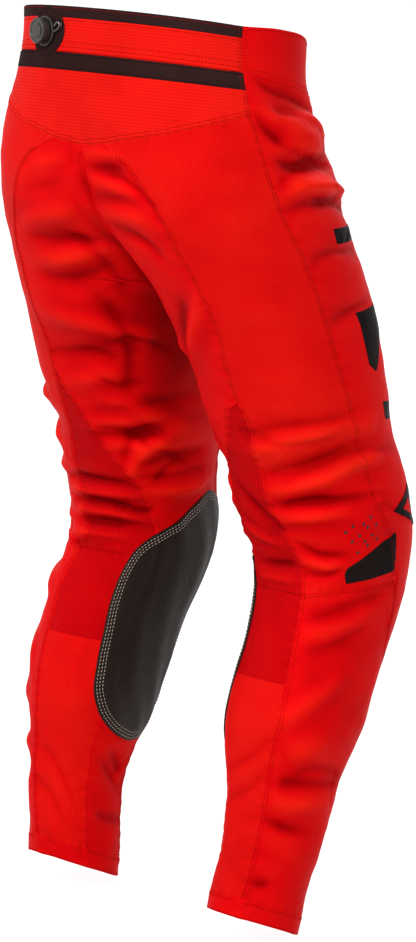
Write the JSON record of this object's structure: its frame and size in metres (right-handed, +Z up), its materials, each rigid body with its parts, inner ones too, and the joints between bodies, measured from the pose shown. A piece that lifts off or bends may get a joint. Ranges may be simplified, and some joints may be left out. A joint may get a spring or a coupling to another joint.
{
  "type": "off-road motorcycle race pants",
  "caption": "Pre-curved protective riding pants with elastic waist, lacing dial, stretch panels, black leather knee guards and ankle cuffs.",
  "frame": {"origin": "middle of the waist opening, where the wearer's waist passes through", "axes": "+Z up, front of the pants faces -Y, +X is the wearer's left"},
  "size_m": [0.444, 0.3417, 0.9931],
  "materials": {
    "red_satin_fabric": "smooth satin polyester",
    "red_rib_fabric": "fine ribbed polyester",
    "red_stretch_fabric": "ribbed stretch knit",
    "black_elastic": "woven elastic band",
    "black_print": "matte rubbery print",
    "black_leather": "pebbled grain leather",
    "black_plastic": "satin moulded plastic",
    "steel": "brushed",
    "grip_silicone": "matte silicone"
  },
  "bodies": {
    "waist_and_seat": {"elastic_top": "black_elastic", "waistband_rear": "red_rib_fabric", "yoke_stripe": "black_elastic", "yoke": "red_rib_fabric", "waist_gripper": "grip_silicone", "dial_backing": "black_elastic", "dial_base": "black_plastic", "dial_lace": "steel", "lace_guide": "black_plastic", "zip_stop": "steel", "fly_guard": "red_satin_fabric", "snap_post": "steel", "waistband_front_left": "red_satin_fabric", "seat_left": "red_stretch_fabric", "hip_rear_left": "red_rib_fabric", "hip_front_left": "red_satin_fabric", "hip_flex_left": "red_stretch_fabric", "zip_teeth_left": "black_plastic", "waistband_front_right": "red_satin_fabric", "seat_right": "red_stretch_fabric", "hip_rear_right": "red_rib_fabric", "hip_front_right": "red_satin_fabric", "hip_flex_right": "red_stretch_fabric", "zip_teeth_right": "black_plastic"},
    "left_thigh": {"thigh_front_left": "red_satin_fabric", "thigh_rear_left": "red_rib_fabric", "thigh_inner_left": "red_stretch_fabric", "knee_cup_left": "red_satin_fabric", "knee_outer_left": "red_satin_fabric", "knee_back_left": "red_stretch_fabric", "knee_wedge_left": "black_print", "leather_patch_left": "black_leather"},
    "left_shin": {"calf_rib_left": "red_stretch_fabric", "calf_left": "red_rib_fabric", "shin_outer_left": "red_satin_fabric", "shin_inner_left": "red_satin_fabric", "cuff_left": "red_satin_fabric"},
    "right_thigh": {"thigh_front_right": "red_satin_fabric", "thigh_rear_right": "red_rib_fabric", "thigh_inner_right": "red_stretch_fabric", "knee_cup_right": "red_satin_fabric", "knee_outer_right": "red_satin_fabric", "knee_back_right": "red_stretch_fabric", "knee_wedge_right": "black_print", "leather_patch_right": "black_leather"},
    "right_shin": {"calf_rib_right": "red_stretch_fabric", "calf_right": "red_rib_fabric", "shin_outer_right": "red_satin_fabric", "shin_inner_right": "red_satin_fabric", "cuff_right": "red_satin_fabric"},
    "dial_slide": {"dial_core": "steel"},
    "dial_grip": {"dial_knob": "black_plastic", "dial_cap": "grip_silicone"},
    "dial_drum": {"dial_spool": "black_plastic"},
    "zip_runner": {"zip_slider": "steel"},
    "zip_tab": {"zip_pull": "steel"},
    "waist_tab": {"closure_tab": "black_elastic", "snap_cap": "steel"}
  },
  "joints": [
    {"name": "left_hip", "type": "hinge", "parent": "waist_and_seat", "child": "left_thigh", "pos_m": [0, -0.015, -0.185], "axis": [-1, 0, 0], "range_deg": [-15, 45], "deforming": ["hip_flex_left"]},
    {"name": "left_knee", "type": "hinge", "parent": "left_thigh", "child": "left_shin", "pos_m": [0, -0.118, -0.57], "axis": [1, 0, 0], "range_deg": [-15, 60], "deforming": ["knee_cup_left", "knee_outer_left", "knee_back_left", "knee_wedge_left", "leather_patch_left"]},
    {"name": "right_hip", "type": "hinge", "parent": "waist_and_seat", "child": "right_thigh", "pos_m": [0, -0.015, -0.185], "axis": [-1, 0, 0], "range_deg": [-15, 45], "deforming": ["hip_flex_right"]},
    {"name": "right_knee", "type": "hinge", "parent": "right_thigh", "child": "right_shin", "pos_m": [0, -0.105, -0.57], "axis": [1, 0, 0], "range_deg": [-15, 60], "deforming": ["knee_cup_right", "knee_outer_right", "knee_back_right", "knee_wedge_right", "leather_patch_right"]},
    {"name": "dial_pull", "type": "slide", "parent": "waist_and_seat", "child": "dial_slide", "axis": [0.2219, 0.9699, 0.1], "range_m": [0, 0.0025]},
    {"name": "dial_turn", "type": "hinge", "parent": "dial_slide", "child": "dial_grip", "pos_m": [0.06096, 0.10765, -0.01936], "axis": [0.2219, 0.9699, 0.1], "continuous": true},
    {"name": "drum_turn", "type": "hinge", "parent": "waist_and_seat", "child": "dial_drum", "pos_m": [0.06096, 0.10765, -0.01936], "axis": [0.2219, 0.9699, 0.1], "continuous": true},
    {"name": "zip_slide", "type": "slide", "parent": "waist_and_seat", "child": "zip_runner", "axis": [0, -0.2219, -0.9751], "range_m": [0, 0.066]},
    {"name": "zip_tab_swing", "type": "hinge", "parent": "zip_runner", "child": "zip_tab", "pos_m": [0, -0.12343, -0.12213], "axis": [-1, 0, 0], "range_deg": [0, 100]},
    {"name": "waist_tab_open", "type": "hinge", "parent": "waist_and_seat", "child": "waist_tab", "pos_m": [0.034, -0.122, -0.09], "axis": [0, 0, 1], "range_deg": [0, 70]}
  ],
  "couplings": [
    {"joint": "drum_turn", "follows": "dial_turn", "ratio": 1}
  ]
}
